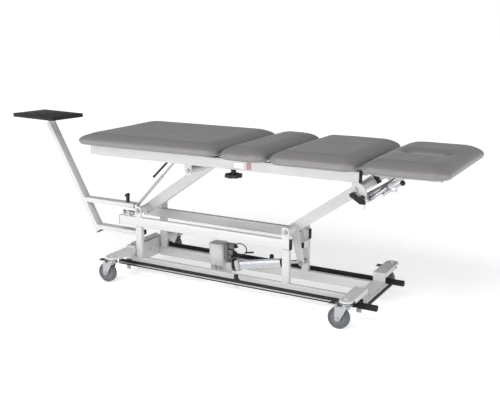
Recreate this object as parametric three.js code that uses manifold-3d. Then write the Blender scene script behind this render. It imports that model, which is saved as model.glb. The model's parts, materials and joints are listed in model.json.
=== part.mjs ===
// Four-section power treatment couch with a traction-unit stand at the foot end.
// Millimetres, +Z up, +X towards the head end, -Y the near side, floor at Z = 0.
import * as THREE from 'three';
import { mergeVertices } from 'three/addons/utils/BufferGeometryUtils.js';
import Module from 'manifold-3d';

const wasm = await Module();
wasm.setup();

// ---------- driving dimensions ----------
const RAIL_H = 50.8;            // 2 in x 1 in steel tube, on edge
const RAIL_W = 25.4;
const WALL = 2.0;
const MECH_Y = 124;             // outer face of the lift mechanism's side frames
const TOP_Y = 217;              // outer face of the top frame's rails
const BASE_Z0 = 41;             // underside of the base rails
const MID_Z0 = 261;             // underside of the fixed middle rails
const TOP_Z0 = 646.2;           // underside of the top rails
const MID_X0 = -736, MID_X1 = 279;
const TOP_X0 = -830, TOP_X1 = 656;
const PIV_Z = 348;              // lower arm pivots
const PIV_XL = -613, PIV_XR = 258;
const ARM_LEN = 468.4;
const ARM_DEG = 35;
const ARM_S = 50.8;             // square arm tube
const CROSS_R = 19;             // pivot cross tube, outer radius
const PIN_R = 8;                // pivot rod radius
const PIN_CLEAR = 0.6;
const A = ARM_DEG * Math.PI / 180;
const DX = ARM_LEN * Math.cos(A), DZ = ARM_LEN * Math.sin(A);
const UP_Z = PIV_Z + DZ, UP_XL = PIV_XL + DX, UP_XR = PIV_XR + DX;
const CRANK_PIN = [300, 176];   // actuator pin on the drive arm's crank
const ACT_REAR = [-185, 76];    // actuator's tail pivot
const CASTER_X = 650, CASTER_Y = 304, WHEEL_R = 50.8, TRAIL = 33;
const PLATE_Z = 131;            // underside of the caster plates
const BAR_Y = 190, BAR_Z = 78;  // activation bars
const PAD_Z1 = 770, PAD_Y = 343, BOARD_Z = 700;   // cushion tops, half width, underside of their boards
const PAD_X = [-846, -5, 3, 247, 254, 679, 692, 1077];
const HINGE = [686, 697];       // head section hinge
const STAND_Y0 = -97.5, STAND_Y1 = -46.7;
const GAP = 0.3;
const CENTRE_SHIFT = 179.2;      // moves the middle of the overall length to X = 0

// ---------- colours ----------
const C = {
  cream: ['#e6e5e1', 0.45, 0.1], grey: ['#77757a', 0.6, 0.0], black: ['#1a1a1d', 0.5, 0.1],
  zinc: ['#a9aeb4', 0.35, 0.9], alu: ['#c9ccd0', 0.35, 0.9], motor: ['#c6c6c4', 0.55, 0.0],
  tread: ['#5d626b', 0.7, 0.0], rubber: ['#17181a', 0.8, 0.0],
};
const group = new THREE.Group();
function add(name, geometry, colour, parent = group) {
  const [hex, roughness, metalness] = C[colour];
  const mesh = new THREE.Mesh(geometry, new THREE.MeshStandardMaterial({ color: hex, roughness, metalness }));
  mesh.name = name;
  parent.add(mesh);
  return mesh;
}

// ---------- solids ----------
function clean(g) {
  g = g.clone();
  g.deleteAttribute('normal'); g.deleteAttribute('uv');
  return mergeVertices(g, 1e-3);
}
function toM(g) {
  const c = clean(g);
  return new wasm.Manifold(new wasm.Mesh({
    numProp: 3, vertProperties: new Float32Array(c.attributes.position.array), triVerts: new Uint32Array(c.index.array),
  }));
}
function fromM(m) {
  const mesh = m.getMesh();
  const g = new THREE.BufferGeometry();
  g.setAttribute('position', new THREE.BufferAttribute(new Float32Array(mesh.vertProperties), 3));
  g.setIndex(new THREE.BufferAttribute(new Uint32Array(mesh.triVerts), 1));
  g.computeVertexNormals();
  return g;
}
const join = (...gs) => fromM(gs.map(toM).reduce((a, b) => a.add(b)));
const cut = (g, ...gs) => fromM(gs.map(toM).reduce((a, b) => a.subtract(b), toM(g)));

function box(x0, x1, y0, y1, z0, z1) {
  return new THREE.BoxGeometry(x1 - x0, y1 - y0, z1 - z0).translate((x0 + x1) / 2, (y0 + y1) / 2, (z0 + z1) / 2);
}
function rounded(w, h, r, path = new THREE.Shape()) {
  const x = w / 2, y = h / 2;
  path.moveTo(-x + r, -y); path.lineTo(x - r, -y);
  path.absarc(x - r, -y + r, r, -Math.PI / 2, 0, false); path.lineTo(x, y - r);
  path.absarc(x - r, y - r, r, 0, Math.PI / 2, false); path.lineTo(-x + r, y);
  path.absarc(-x + r, y - r, r, Math.PI / 2, Math.PI, false); path.lineTo(-x, -y + r);
  path.absarc(-x + r, -y + r, r, Math.PI, Math.PI * 1.5, false);
  return path;
}
function prism(shape, depth, curveSegments = 1) {
  return new THREE.ExtrudeGeometry(shape, { depth, bevelEnabled: false, curveSegments });
}
// rectangular hollow section along local Z, w on X and h on Y
function section(w, h, len, wall = WALL, r = 3) {
  const s = rounded(w, h, r);
  if (wall) s.holes.push(rounded(w - 2 * wall, h - 2 * wall, Math.max(r - wall, 0.8), new THREE.Path()));
  return prism(s, len);
}
const tubeX = (x0, x1, yc, zc, wy, hz, wall, r) => section(hz, wy, x1 - x0, wall, r).rotateY(Math.PI / 2).translate(x0, yc, zc);
const tubeY = (y0, y1, xc, zc, wx, hz, wall, r) => section(wx, hz, y1 - y0, wall, r).rotateX(-Math.PI / 2).translate(xc, y0, zc);
const tubeZ = (z0, z1, xc, yc, wx, wy, wall, r) => section(wx, wy, z1 - z0, wall, r).translate(xc, yc, z0);
// round bar or pipe between two points
function bar(p0, p1, r, seg = 16, ri = 0) {
  const a = new THREE.Vector3(...p0), b = new THREE.Vector3(...p1), d = b.clone().sub(a);
  let g;
  if (ri > 0) {
    g = new THREE.LatheGeometry([[ri, 0], [r, 0], [r, d.length()], [ri, d.length()], [ri, 0]].map((v) => new THREE.Vector2(...v)), seg);
  } else {
    g = new THREE.CylinderGeometry(r, r, d.length(), seg, 1).translate(0, d.length() / 2, 0);
  }
  return g.applyQuaternion(new THREE.Quaternion().setFromUnitVectors(new THREE.Vector3(0, 1, 0), d.normalize())).translate(a.x, a.y, a.z);
}
// plate in the XZ plane from an outline, y0..y1
function plate(pts, y0, y1) {
  const s = new THREE.Shape(pts.map(([x, z]) => new THREE.Vector2(x, z)));
  return prism(s, y1 - y0).rotateX(Math.PI / 2).translate(0, y1, 0);
}
// capsule-shaped plate from (x0,z0) to (x1,z1)
function link(x0, z0, x1, z1, r0, r1, y0, y1, n = 8) {
  const a = Math.atan2(z1 - z0, x1 - x0), pts = [];
  for (let i = 0; i <= n; i++) { const t = a - Math.PI / 2 + Math.PI * i / n; pts.push([x1 + r1 * Math.cos(t), z1 + r1 * Math.sin(t)]); }
  for (let i = 0; i <= n; i++) { const t = a + Math.PI / 2 + Math.PI * i / n; pts.push([x0 + r0 * Math.cos(t), z0 + r0 * Math.sin(t)]); }
  return plate(pts, y0, y1);
}
const along = (y0, y1, x, z, r, seg, ri) => bar([x, y0, z], [x, y1, z], r, seg, ri);

// ---------- base ----------
for (const [side, s] of [['near', -1], ['far', 1]]) {
  add(`base_rail_${side}`, tubeX(-640 + GAP, 619 - GAP, s * (MECH_Y - RAIL_W / 2), BASE_Z0 + RAIL_H / 2, RAIL_W, RAIL_H), 'cream');
}
// arm that carries one caster: inverted channel with a rounded, bolted end
function casterArm(x0, x1, s, zTop) {
  const yIn = s * MECH_Y, yOut = s * CASTER_Y, xc = Math.sign(x0 + x1) * CASTER_X;
  const ya = Math.min(yIn, s * (CASTER_Y - 34)), yb = Math.max(yIn, s * (CASTER_Y - 34));
  const shell = box(x0, x1, ya, yb, 116, zTop);
  const hollow = box(x0 + 3, x1 - 3, ya - (s < 0 ? 1 : -6), yb + (s < 0 ? -6 : 1), 110, zTop - 5);
  const disc = bar([xc, yOut, PLATE_Z], [xc, yOut, zTop], 33, 20);
  const tongue = box(x0, x1, Math.min(yOut, s * (CASTER_Y - 36)), Math.max(yOut, s * (CASTER_Y - 36)), PLATE_Z, zTop);
  const boltHead = bar([xc, yOut, zTop - 1], [xc, yOut, zTop + 8], 9.5, 6);
  return join(cut(shell, hollow), disc, tongue, boltHead);
}
{
  const x0 = 619, x1 = 681;
  const centre = tubeY(-MECH_Y, MECH_Y, (x0 + x1) / 2, 71.5, x1 - x0, 51, 3, 3);
  const risers = [-1, 1].map((s) => box(x0, x1, Math.min(s * 118, s * MECH_Y), Math.max(s * 118, s * MECH_Y), 46, 139));
  const vents = [-1, 1].map((s) => box(638, 662, Math.min(s * 110, s * 130), Math.max(s * 110, s * 130), 58, 84));
  add('head_crossmember', cut(join(centre, ...risers, casterArm(x0, x1, -1, 139), casterArm(x0, x1, 1, 139)), ...vents), 'cream');
}
{
  const x0 = -700, x1 = -640;
  const shell = box(x0, x1, -MECH_Y, MECH_Y, 50, 146);
  const hollow = box(x0 + 3, x1 - 3, -MECH_Y + 4, MECH_Y - 4, 40, 143);
  const holes = [-60, 10, 70].map((y) => bar([x1 - 10, y, 100], [x1 + 5, y, 100], 6, 12));
  const pipe = bar([-668, -112, 154], [-668, 112, 154], 11, 16, 8.5);
  add('foot_crossmember', join(cut(shell, hollow, ...holes), pipe, casterArm(-692, -630, -1, 139), casterArm(-692, -630, 1, 139)), 'cream');
}
for (const [side, s] of [['near', -1], ['far', 1]]) {
  const yc = s * (MECH_Y - RAIL_W / 2);
  for (const [end, x] of [['foot', PIV_XL], ['head', PIV_XR + 2]]) {
    add(`post_${end}_${side}`, tubeZ(BASE_Z0 + RAIL_H + GAP, MID_Z0 - GAP, x, yc, 38.1, RAIL_W), 'cream');
  }
  // middle rail with the two pivot ears standing on it
  const y0 = s < 0 ? -MECH_Y : MECH_Y - 8, y1 = y0 + 8;
  const ear = (x, zt) => {
    const w = 19, pts = [[x - w, MID_Z0 + RAIL_H - 1], [x + w, MID_Z0 + RAIL_H - 1]];
    pts.push([x + w, zt - 8], [x + w - 8, zt], [x - w + 8, zt], [x - w, zt - 8]);
    return cut(plate(pts, y0, y1), along(y0 - 1, y1 + 1, x, PIV_Z, PIN_R + 0.2, 16));
  };
  const rail = tubeX(MID_X0, MID_X1, yc, MID_Z0 + RAIL_H / 2, RAIL_W, RAIL_H);
  const pieces = [rail, ear(PIV_XL, 371), ear(PIV_XR, 371)];
  if (s < 0) pieces.push(along(-117, -104, PIV_XL - 15, 374.5, 4, 12), cut(link(PIV_XL - 8, 358, PIV_XL - 15, 374.5, 9, 6.5, y0, y1), along(y0 - 1, y1 + 1, PIV_XL, PIV_Z, PIN_R + 0.2, 16)));
  add(`middle_rail_${side}`, join(...pieces), 'cream');
}
// pivot rods: through bolts with a head and a nut
function rod(x, z, y, head = 11) {
  return join(along(-y, y, x, z, PIN_R, 16), along(-y - 7, -y + GAP, x, z, head, 6), along(y - GAP, y + 7, x, z, head, 6));
}
add('pivot_rod_foot_lower', rod(PIV_XL, PIV_Z, MECH_Y + GAP * 2), 'zinc');
add('pivot_rod_head_lower', rod(PIV_XR, PIV_Z, MECH_Y + GAP * 2), 'zinc');
// tail bracket of the actuator: a cross plate under the base rails with two slotted ears;
// the near ear is open at the top, the far one guides the tail pin
{
  const [x, z] = ACT_REAR;
  const cross = box(x - 30, x + 22, -MECH_Y + 2, MECH_Y - 2, BASE_Z0 - 6 - GAP, BASE_Z0 - GAP);
  const slot = (y0, y1, z1) => box(x - 15.5, x + 8, y0 - 1, y1 + 1, z - 7.5, z1);
  const near = cut(box(x - 30, x + 20, -39, -33, BASE_Z0 - 2, 92), slot(-39, -33, 99));
  const far = cut(box(x - 30, x + 20, 33, 39, BASE_Z0 - 2, 128), slot(33, 39, 118));
  add('actuator_mount', join(cross, near, far), 'cream');
}

// ---------- traction stand ----------
const STAND = { bot: [-913, 190], top: [-1237, 775] };
{
  const [bx, bz] = STAND.bot, [tx, tz] = STAND.top;
  const d = Math.hypot(tx - bx, tz - bz), ux = (tx - bx) / d, uz = (tz - bz) / d;
  const yc = (STAND_Y0 + STAND_Y1) / 2, wy = STAND_Y1 - STAND_Y0;
  const ang = Math.atan2(ux, uz);
  const post = section(RAIL_W, wy, d, WALL).rotateY(ang).translate(bx, yc, bz);
  const postCore = box(-RAIL_W / 2 + WALL, RAIL_W / 2 - WALL, -wy / 2 + WALL, wy / 2 - WALL, -5, d + 5).rotateY(ang).translate(bx, yc, bz);
  const xAt = (z) => bx + ux / uz * (z - bz);
  const upper = tubeX(xAt(361), -660, yc, 361, wy, RAIL_W);
  const lower = tubeX(xAt(214), -622, yc, 214, wy, RAIL_W);
  const rail = cut(join(upper, lower), postCore);
  const stub = bar([tx + 3, yc, tz - 20], [tx + 3, yc, 786], 19, 16);
  add('stand_frame', join(post, rail, stub), 'cream');
}
{
  const yc = (STAND_Y0 + STAND_Y1) / 2, tx = STAND.top[0] + 3;
  // oblong table on a collar that turns on the stub
  const top = new THREE.ExtrudeGeometry(rounded(326, 222, 8), { depth: 16, bevelEnabled: true, bevelThickness: 2, bevelSize: 3, bevelSegments: 2, curveSegments: 2 }).translate(-24, 0, 804);
  const collar = bar([0, 0, 786 + GAP], [0, 0, 804], 24, 20);
  const g = join(top, collar).rotateZ(-7.2 * Math.PI / 180).translate(tx, yc, 0);
  add('stand_platform', g, 'black');
  // T-shaped clamp knob on the upper arm
  const kx = -716;
  const knob = join(bar([kx, yc, 373.7 + GAP], [kx, yc, 386], 10, 16), bar([kx, yc, 384], [kx, yc, 416], 10, 16), bar([kx - 13, yc, 408], [kx + 7, yc, 417], 9, 14));
  add('stand_knob', knob, 'black');
  // clamp bolt lying on the middle rail, under the upper arm
  const by = -111, bz = 330;
  add('stand_clamp', join(bar([-716, by, bz], [-641, by, bz], 6, 14), bar([-716, by, bz], [-704, by, bz], 12, 6), bar([-662, by, bz], [-648, by, bz], 12, 6), box(-692, -670, by - 10, by + 10, MID_Z0 + RAIL_H + GAP, bz + 9)), 'zinc');
}

// ---------- lifting arms ----------
// local frame: lower pivot at the origin, tube running up at ARM_DEG
function armSolid({ crank, gusset }) {
  const end = ARM_LEN + (crank ? 23 : 36), h = ARM_S / 2;
  const turn = (g) => g.rotateY(-A);
  const shell = turn(box(-22, end, -h, h, -h, h));
  const core = turn(box(-30, end + 5, -h + 2.5, h - 2.5, -h + 2.5, h - 2.5));
  const solids = [cut(shell, core), along(-114.5, 114.5, 0, 0, CROSS_R, 24), along(-207.5, 207.5, DX, DZ, CROSS_R, 24)];
  if (gusset) solids.push(turn(plate([[ARM_LEN - 72, h - 1], [ARM_LEN - 8, h - 1], [ARM_LEN - 14, h + 13], [ARM_LEN - 40, h + 10]], -5, 5)));
  if (crank) {
    const cx = CRANK_PIN[0] - PIV_XR, cz = CRANK_PIN[1] - PIV_Z;
    for (const s of [-1, 1]) {
      const y0 = s < 0 ? -32 : 26, y1 = y0 + 6;
      solids.push(cut(link(0, 0, cx, cz, 23, 17, y0, y1, 10), along(y0 - 1, y1 + 1, cx, cz, 6, 12)));
    }
    // tie tube standing out between the crank plates, and the web that holds them to the arm
    solids.push(box(28, 56, -27, 27, -97, -67), box(-14, 14, -27, 27, -44, -30));
  }
  const bores = [along(-120, 120, 0, 0, PIN_R + PIN_CLEAR, 24), along(-215, 215, DX, DZ, PIN_R + PIN_CLEAR, 24)];
  return cut(join(...solids), ...bores);
}
add('drive_arm', armSolid({ crank: true }), 'cream').position.set(PIV_XR, 0, PIV_Z);
add('idler_arm', armSolid({ gusset: true }), 'cream').position.set(PIV_XL, 0, PIV_Z);

// ---------- actuator ----------
{
  const [px, pz] = CRANK_PIN, [rx, rz] = ACT_REAR;
  const L = Math.hypot(px - rx, pz - rz), th = Math.atan2(pz - rz, px - rx);
  const g = new THREE.Group();
  g.position.set(rx, 0, rz); g.rotation.y = -th;
  group.add(g);
  const tubeEnd = 372, tubeStart = 132;
  // aluminium guide tube, open at the front
  add('actuator_tube', section(38, 38, tubeEnd - tubeStart, 5, 5).rotateY(Math.PI / 2).translate(tubeStart, 0, 0), 'alu', g);
  const rodLen = 236;
  const eye = cut(join(bar([L - rodLen, 0, 0], [L - 8, 0, 0], 9, 16), along(-14, 14, L, 0, 14, 16)), along(-20, 20, L, 0, 6, 12));
  add('actuator_rod', eye, 'zinc', g);
  // motor standing upright on the gearbox, with a square flange that holds the tube
  const back = new THREE.Matrix4().makeRotationY(th);
  const up = (geo) => geo.applyMatrix4(back);
  const block = (w, h, r, d, bev) => new THREE.ExtrudeGeometry(rounded(w, h, r), { depth: d, bevelEnabled: true, bevelThickness: bev, bevelSize: bev, bevelSegments: 2, curveSegments: 2 });
  const motor = join(
    up(block(104, 46, 14, 48, 4).rotateX(-Math.PI / 2).translate(38, -24, 8)),
    bar([80, 0, 0], [114, 0, 0], 24, 20),
    section(58, 58, tubeStart - GAP - 112, 0, 10).rotateY(Math.PI / 2).translate(112, 0, 0),
    up(block(74, 66, 15, 106, 5).translate(10, -22, 26)),
    along(-43, 43, 0, 0, 5.5, 14));
  add('actuator_motor', motor, 'motor', g);
  // short lead looping from the motor's side down to the gearbox, with its moulded plug
  const pts = [[56, 128], [100, 133], [130, 142], [157, 133], [168, 114], [160, 94], [136, 80], [112, 66], [94, 56], [76, 44], [64, 46]].map(([x, z]) => new THREE.Vector3(x, -8, z));
  const curve = new THREE.CatmullRomCurve3(pts);
  const circle = new THREE.Shape();
  circle.absarc(0, 0, 2.6, 0, 2 * Math.PI, false);
  const lead = new THREE.ExtrudeGeometry(circle, { steps: 44, extrudePath: curve, curveSegments: 6, bevelEnabled: false });
  add('actuator_lead', up(join(lead, bar([161, -8, 98], [208, -8, 106], 4.6, 12))), 'rubber', g);
}

// ---------- telescoping height-limit rod ----------
const LIM = { x: PIV_XL - 15, z: 374.5, y: -101, deg: 46.3, len: 351 };
{
  const g = new THREE.Group();
  g.position.set(LIM.x, LIM.y, LIM.z); g.rotation.y = -LIM.deg * Math.PI / 180;
  group.add(g);
  const tube = cut(join(bar([10, 0, 0], [240, 0, 0], 7.2, 16), along(-3.2, 3.2, 0, 0, 9.5, 16), box(4, 16, -3.2, 3.2, -6, 6)), bar([22, 0, 0], [242, 0, 0], 6, 16), along(-6, 6, 0, 0, 4.6, 12));
  add('limit_tube', tube, 'zinc', g);
  add('limit_rod', bar([104, 0, 0], [LIM.len, 0, 0], 5.4, 14), 'zinc', g);
}

// ---------- top frame ----------
for (const [side, s] of [['near', -1], ['far', 1]]) {
  const yc = s * (TOP_Y - RAIL_W / 2);
  const y0 = s < 0 ? -TOP_Y : TOP_Y - 8, y1 = y0 + 8;
  const rail = tubeX(TOP_X0, TOP_X1, yc, TOP_Z0 + RAIL_H / 2, RAIL_W, RAIL_H);
  const t = TOP_Z0 + 1;
  const ear = cut(plate([[UP_XL - 19, t], [UP_XL - 19, UP_Z - 14], [UP_XL - 11, UP_Z - 22], [UP_XL + 11, UP_Z - 22], [UP_XL + 19, UP_Z - 14], [UP_XL + 19, t]], y0, y1),
    along(y0 - 1, y1 + 1, UP_XL, UP_Z, PIN_R + 0.2, 16));
  // rounded sector plate: arm pivot and strut shaft
  const sector = [[UP_XR - 18, t], [UP_XR - 18, UP_Z - 16], [UP_XR - 10, UP_Z - 26], [662, 571], [676, 567], [688, 572]];
  for (let i = 0; i <= 8; i++) { const a = -0.28 + (Math.PI / 2 + 0.1) * i / 8; sector.push([652 + 42 * Math.cos(a), 592 + (t - 592) * Math.max(Math.sin(a), -0.2)]); }
  const plateS = cut(plate(sector, y0, y1), along(y0 - 1, y1 + 1, UP_XR, UP_Z, PIN_R + 0.2, 16), along(y0 - 1, y1 + 1, 678, 586, 7.6, 16));
  add(`top_rail_${side}`, join(rail, ear, plateS), 'cream');
}
const TIN = TOP_Y - RAIL_W - GAP;
add('top_cross_foot', tubeY(-TIN, TIN, -620, 684.3, 40, RAIL_W), 'cream');
add('top_cross_middle', tubeY(-TIN, TIN, 18, 684.3, 40, RAIL_W), 'cream');
{
  const tube = tubeY(-TIN, TIN, 600, 684.3, 40, RAIL_W);
  const parts = [tube];
  for (const s of [-1, 1]) {
    const y0 = s < 0 ? -168 : 160, y1 = y0 + 8;
    parts.push(plate([[606, 673], [676, 673], [692, 690], [694, 697], [692, 702], [686, 705], [680, 702], [674, 696.5], [606, 696.5]], y0, y1));
    parts.push(along(s < 0 ? -161 : 128, s < 0 ? -128 : 161, HINGE[0], HINGE[1], 5, 14));
  }
  add('top_cross_head', join(...parts), 'cream');
}
add('pivot_rod_foot_upper', rod(UP_XL, UP_Z, TOP_Y + GAP * 2), 'zinc');
add('pivot_rod_head_upper', rod(UP_XR, UP_Z, TOP_Y + GAP * 2), 'zinc');
// shaft across the sector plates with the lugs that hold both struts
const LOCK = { a: [688, 566], b: [832, 679], y: -172 };
const GAS = { a: [673, 556], b: [800, 668], y: -108 };
{
  const lugs = [];
  for (const [st, w] of [[LOCK, 9.5], [GAS, 9.5]]) {
    for (const o of [-w - 4, w]) lugs.push(link(678, 586, st.a[0], st.a[1], 11, 9, st.y + o, st.y + o + 4, 6));
    lugs.push(along(st.y - w - 1, st.y + w + 1, st.a[0], st.a[1], 4, 12));
  }
  add('strut_shaft', join(along(-208.4, 208.4, 678, 586, 9.5, 16), along(-222, 222, 678, 586, 7, 16), along(217.4, 222, 678, 586, 12, 6), ...lugs), 'zinc');
}

// ---------- cushions: plain solids, rounded on every edge, each on its plywood board ----------
function pad(x0, x1, z0, radii) {
  const b = 32, R = radii.map((r) => Math.max(r - b, 2)), s = new THREE.Shape();
  const xa = x0 + b, xb = x1 - b, y = PAD_Y - b;
  s.moveTo(xa + R[0], -y); s.lineTo(xb - R[1], -y);
  s.absarc(xb - R[1], -y + R[1], R[1], -Math.PI / 2, 0, false); s.lineTo(xb, y - R[1]);
  s.absarc(xb - R[1], y - R[1], R[1], 0, Math.PI / 2, false); s.lineTo(xa + R[0], y);
  s.absarc(xa + R[0], y - R[0], R[0], Math.PI / 2, Math.PI, false); s.lineTo(xa, -y + R[0]);
  s.absarc(xa + R[0], -y + R[0], R[0], Math.PI, Math.PI * 1.5, false);
  const t = (PAD_Z1 - z0) / 2 - 2, e = 50;
  const foam = new THREE.ExtrudeGeometry(s, { depth: PAD_Z1 - z0 - 2 * t, bevelEnabled: true, bevelThickness: t, bevelSize: b, bevelSegments: 3, curveSegments: 3 }).translate(0, 0, z0 + t);
  return join(foam, box(x0 + e, x1 - e, -PAD_Y + e + 48, PAD_Y - e - 48, BOARD_Z, z0 + 2));
}
add('pad_leg', pad(PAD_X[0], PAD_X[1], 717, [66, 62]), 'grey');
add('pad_lumbar', pad(PAD_X[2], PAD_X[3], 711, [62, 62]), 'grey');
add('pad_back', pad(PAD_X[4], PAD_X[5], 711, [62, 62]), 'grey');
{
  const slot = prism(rounded(210, 84, 41), 90, 4).translate(886, 0, BOARD_Z - 10);
  add('pad_head', cut(pad(PAD_X[6], PAD_X[7], 711, [62, 66]), slot), 'grey');
}

// ---------- head section frame, lock strut and gas spring ----------
{
  const side = [-1, 1].map((s) => tubeX(702, 1000, s * 141, 684, RAIL_W, RAIL_W));
  const cross = [715, 987].map((x) => tubeY(-129.5, 129.5, x, 684, RAIL_W, RAIL_W, 0));
  const barrels = [-1, 1].map((s) => join(along(s < 0 ? -153 : 130, s < 0 ? -130 : 153, HINGE[0], HINGE[1], 8.4, 18), plate([[686, 689.2], [706, 676], [706, 694], [692, 700]], s < 0 ? -153 : 130, s < 0 ? -130 : 153)));
  const bores = [-1, 1].map((s) => along(s < 0 ? -160 : 120, s < 0 ? -120 : 160, HINGE[0], HINGE[1], 5.6, 18));
  // clevises for the struts' upper ends
  const cl = [];
  const [lx, lz] = LOCK.b, [gx, gz] = GAS.b;
  const clevis = (x, z, y, w, yTab0, yTab1) => {
    cl.push(box(x - 14, x + 14, yTab0, yTab1, 692.5, 696.5));
    for (const o of [-w - 4, w]) cl.push(plate([[x - 11, 695], [x - 11, z - 3], [x - 6, z - 9], [x + 6, z - 9], [x + 11, z - 3], [x + 11, 695]], y + o, y + o + 4));
  };
  clevis(lx, lz, LOCK.y, 12, LOCK.y - 16, -153);
  clevis(gx, gz, GAS.y, 12, -129, GAS.y + 16);
  add('head_frame', cut(join(...side, ...cross, ...barrels, ...cl), ...bores), 'cream');
}
function strut(st, bodyFirst, rBody, rRod, bodyLen, rodLen, names, colours) {
  const dx = st.b[0] - st.a[0], dz = st.b[1] - st.a[1], L = Math.hypot(dx, dz), th = Math.atan2(dz, dx);
  const g = new THREE.Group();
  g.position.set(st.a[0], st.y, st.a[1]); g.rotation.y = -th;
  group.add(g);
  const eye = (x, dir, e = 16) => [along(-6, 6, x, 0, 8, 14), box(Math.min(x + dir * 5, x + dir * e), Math.max(x + dir * 5, x + dir * e), -5, 5, -5, 5)];
  if (bodyFirst) {
    add(names[0], cut(join(bar([14, 0, 0], [bodyLen, 0, 0], rBody, 18), ...eye(0, 1)), bar([18, 0, 0], [bodyLen + 2, 0, 0], rRod + 0.6, 18), along(-8, 8, 0, 0, 4.6, 12)), colours[0], g);
    add(names[1], join(bar([L - rodLen, 0, 0], [L - 12, 0, 0], rRod, 16), ...eye(L, -1)), colours[1], g);
  } else {
    add(names[0], cut(join(bar([7, 0, 0], [rodLen, 0, 0], rRod, 16), ...eye(0, 1, 10)), along(-8, 8, 0, 0, 4.6, 12)), colours[0], g);
    add(names[1], cut(join(bar([L - bodyLen, 0, 0], [L - 14, 0, 0], rBody, 18), ...eye(L, -1)), bar([L - bodyLen - 2, 0, 0], [L - 16.5, 0, 0], rRod + 0.6, 18)), colours[1], g);
  }
}
strut(LOCK, true, 9, 6, 109, 106, ['lock_strut_body', 'lock_strut_rod'], ['zinc', 'zinc']);
strut(GAS, false, 9.5, 5.2, 101, 97, ['gas_spring_rod', 'gas_spring_body'], ['zinc', 'zinc']);
// release handle on the near end of the strut shaft
{
  const y = -237;
  const h = join(link(686, 566, 634, 597, 11, 9.5, y - 9, y + 9, 6), bar([678, y - 9, 586], [678, -222.4, 586], 11, 16), box(679, 693, y - 7, y + 7, 536, 560));
  add('release_handle', cut(h, bar([678, y + 5, 586], [678, -200, 586], 7.4, 16)), 'black');
}

// ---------- hand controls under the top frame ----------
{
  // star knob that locks the sliding leg section
  const s = new THREE.Shape(), n = 48;
  for (let i = 0; i < n; i++) { const a = 2 * Math.PI * i / n, r = 40.5 + 3.2 * Math.cos(8 * a); (i ? s.lineTo : s.moveTo).call(s, r * Math.cos(a), r * Math.sin(a)); }
  const head = prism(s, 15).translate(0, 0, 609);
  const g = join(head, bar([0, 0, 623], [0, 0, 646], 12.5, 18)).translate(22, -TOP_Y + 12.7, 0);
  add('slide_knob', cut(g, box(0, 44, -TOP_Y, -TOP_Y + 26, TOP_Z0 - GAP, 660)), 'black');
  // release lever of the sliding section
  const y = -158, p0 = [-357, y, 668], p1 = [-475, y, 554];
  add('slide_lever', join(bar(p0, p1, 5.6, 14), new THREE.SphereGeometry(7, 14, 8).translate(...p1), along(y - 8, y + 8, p0[0], p0[2], 9, 14)), 'black');
}

// ---------- activation bars ----------
for (const [side, s] of [['near', -1], ['far', 1]]) {
  const y = s * BAR_Y;
  const tabs = [[-633, 44], [25, 48], [668, 44]].map(([x, z]) => box(x - 12, x + 12, y - 2, y + 2, z, BAR_Z - 10));
  add(`activation_bar_${side}`, join(tubeX(-694, 652, y, BAR_Z, 16, 27, 2, 3), bar([645, y, BAR_Z], [752, y, BAR_Z], 13, 18), ...tabs), 'black');
}
add('activation_bar_cross', bar([700, -BAR_Y + 13.2, BAR_Z], [700, BAR_Y - 13.2, BAR_Z], 8, 14), 'black');

// ---------- casters ----------
for (const [name, sx, sy] of [['foot_near', -1, -1], ['foot_far', -1, 1], ['head_near', 1, -1], ['head_far', 1, 1]]) {
  const g = new THREE.Group();
  g.position.set(sx * CASTER_X, sy * CASTER_Y, 0);
  group.add(g);
  const leg = (y0) => plate([[-46, 106], [10, 106], [-2, 80], [-21, 46], [-26, 40], [-33, 38], [-40, 40], [-45, 46], [-47, 62]], y0, y0 + 3.5);
  const fork = join(box(-34, 20, -23, 23, 104, 109), leg(-23), leg(19.5), bar([0, 0, 108], [0, 0, 124], 22, 20), bar([0, 0, 123], [0, 0, PLATE_Z - GAP], 10, 16),
    along(-23, 23, -TRAIL, WHEEL_R, 5, 14));
  add(`caster_fork_${name}`, fork, 'zinc', g);
  const prof = [[6, -17], [14, -17], [17, -7], [38, -7], [40, -13], [47, -15], [WHEEL_R, -10], [WHEEL_R, 10], [47, 15], [40, 13], [38, 7], [17, 7], [14, 17], [6, 17], [6, -17]];
  const wheel = new THREE.LatheGeometry(prof.map((v) => new THREE.Vector2(...v)), 32).translate(-TRAIL, 0, WHEEL_R);
  add(`caster_wheel_${name}`, wheel, 'tread', g);
  const brake = join(plate([[-40, 108], [-40, 114.5], [-52, 115.5], [-78, 115.2], [-80, 111], [-54, 110.6], [-44, 107]], -16, 16), along(-16, 16, -39.8, 111, 4.4, 12));
  add(`caster_brake_${name}`, brake, 'black', g);
}

// origin under the middle of the overall box
group.position.x = CENTRE_SHIFT;

export default group;
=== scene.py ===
# Treatment couch with a traction stand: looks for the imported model. Metres, +Z up.
import json
import math
import bpy
import bmesh
import numpy as np
from mathutils import Vector, Matrix, noise


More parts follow.
